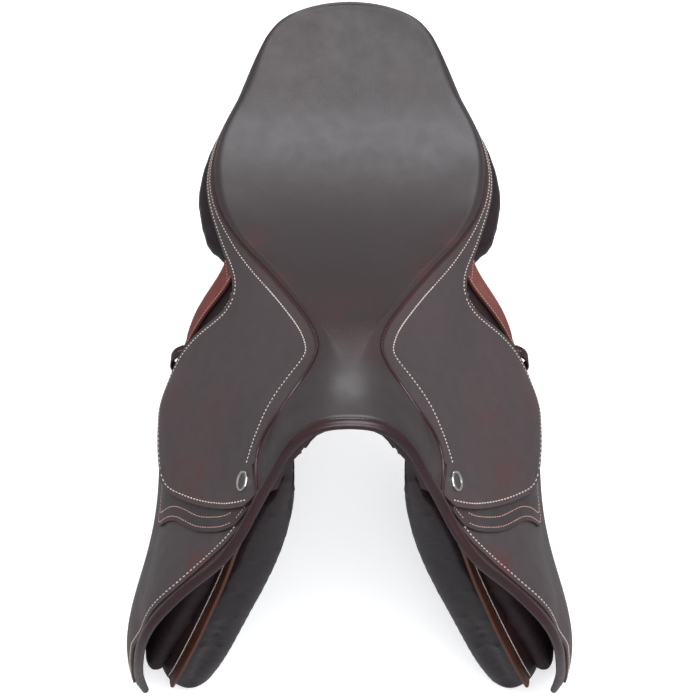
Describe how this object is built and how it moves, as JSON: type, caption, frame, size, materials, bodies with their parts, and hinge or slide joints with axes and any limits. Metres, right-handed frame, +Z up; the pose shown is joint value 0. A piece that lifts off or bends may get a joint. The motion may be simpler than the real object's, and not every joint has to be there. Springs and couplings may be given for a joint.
{
  "type": "jumping saddle",
  "caption": "Close-contact jumping saddle with deep seat, forward-cut rolled flaps, lifting skirts over stirrup bars, panels, blocks, billets and rear straps.",
  "frame": {"origin": "in the plane of symmetry, in the gullet channel under the seat, 200 mm behind and 147 mm below the middle of the head's rolled edge", "axes": "+Z up, -Y to the pommel (front), +X to the saddle's left side; the y-z plane is the plane of symmetry"},
  "size_m": [0.4616, 0.4905, 0.5181],
  "materials": {
    "seat_leather": "satin grained",
    "skirt_leather": "satin grained",
    "piping_leather": "satin",
    "roll_leather": "satin",
    "russet_leather": "satin, worn",
    "dark_leather": "satin",
    "panel_leather": "soft matt",
    "stainless_steel": "polished",
    "black_steel": "black paint",
    "laminated_beech": "bare laminated wood",
    "webbing": "woven webbing",
    "foam": "open-cell foam"
  },
  "bodies": {
    "saddle": {"gullet_plate": "black_steel", "head_facing": "dark_leather", "head_welt": "seat_leather", "rear_facing": "skirt_leather", "seat_cover": "seat_leather", "seat_foam": "foam", "seat_webbing": "webbing", "tree_frame": "laminated_beech", "left_balance_strap": "russet_leather", "left_bar_rivet_1": "stainless_steel", "left_bar_rivet_2": "stainless_steel", "left_calf_block": "dark_leather", "left_catch_pin": "stainless_steel", "left_front_billet": "dark_leather", "left_knee_block": "dark_leather", "left_panel": "panel_leather", "left_rear_billet": "dark_leather", "left_ring_loop": "dark_leather", "left_seat_piping": "piping_leather", "left_skirt_yoke": "skirt_leather", "left_stirrup_bar": "stainless_steel", "left_sweat_edge_strip": "russet_leather", "left_sweat_flap": "dark_leather", "right_balance_strap": "russet_leather", "right_bar_rivet_1": "stainless_steel", "right_bar_rivet_2": "stainless_steel", "right_calf_block": "dark_leather", "right_catch_pin": "stainless_steel", "right_front_billet": "dark_leather", "right_knee_block": "dark_leather", "right_panel": "panel_leather", "right_rear_billet": "dark_leather", "right_ring_loop": "dark_leather", "right_seat_piping": "piping_leather", "right_skirt_yoke": "skirt_leather", "right_stirrup_bar": "stainless_steel", "right_sweat_edge_strip": "russet_leather", "right_sweat_flap": "dark_leather"},
    "left_flap": {"left_flap": "skirt_leather", "left_flap_roll": "roll_leather", "left_flap_band": "skirt_leather"},
    "left_skirt": {"left_skirt": "skirt_leather", "left_skirt_plaque": "stainless_steel"},
    "left_catch": {"left_bar_catch": "stainless_steel"},
    "left_ring": {"left_strap_ring": "stainless_steel"},
    "right_flap": {"right_flap": "skirt_leather", "right_flap_roll": "roll_leather", "right_flap_band": "skirt_leather"},
    "right_skirt": {"right_skirt": "skirt_leather", "right_skirt_plaque": "stainless_steel"},
    "right_catch": {"right_bar_catch": "stainless_steel"},
    "right_ring": {"right_strap_ring": "stainless_steel"}
  },
  "joints": [
    {"name": "left_flap_lift", "type": "hinge", "parent": "saddle", "child": "left_flap", "pos_m": [0.0945, -0.103, 0.0585], "axis": [-0.1314, -0.9902, 0.0482], "range_deg": [0, 60]},
    {"name": "left_skirt_lift", "type": "hinge", "parent": "left_flap", "child": "left_skirt", "pos_m": [0.0945, -0.103, 0.0585], "axis": [-0.1314, -0.9902, 0.0482], "range_deg": [0, 70]},
    {"name": "left_catch_turn", "type": "hinge", "parent": "saddle", "child": "left_catch", "pos_m": [0.0991, -0.09443, 0.03188], "axis": [-0.7527, 0.068, -0.6548], "range_deg": [0, 80]},
    {"name": "left_ring_swing", "type": "hinge", "parent": "saddle", "child": "left_ring", "pos_m": [0.16445, 0.00208, -0.05896], "axis": [0.3462, 0, -0.9382], "range_deg": [0, 15]},
    {"name": "right_flap_lift", "type": "hinge", "parent": "saddle", "child": "right_flap", "pos_m": [-0.0945, -0.103, 0.0585], "axis": [-0.1314, 0.9902, -0.0482], "range_deg": [0, 60]},
    {"name": "right_skirt_lift", "type": "hinge", "parent": "right_flap", "child": "right_skirt", "pos_m": [-0.0945, -0.103, 0.0585], "axis": [-0.1314, 0.9902, -0.0482], "range_deg": [0, 70]},
    {"name": "right_catch_turn", "type": "hinge", "parent": "saddle", "child": "right_catch", "pos_m": [-0.0991, -0.09443, 0.03188], "axis": [-0.7527, -0.068, 0.6548], "range_deg": [0, 80]},
    {"name": "right_ring_swing", "type": "hinge", "parent": "saddle", "child": "right_ring", "pos_m": [-0.16445, 0.00208, -0.05896], "axis": [0.3462, 0, 0.9382], "range_deg": [0, 15]}
  ]
}
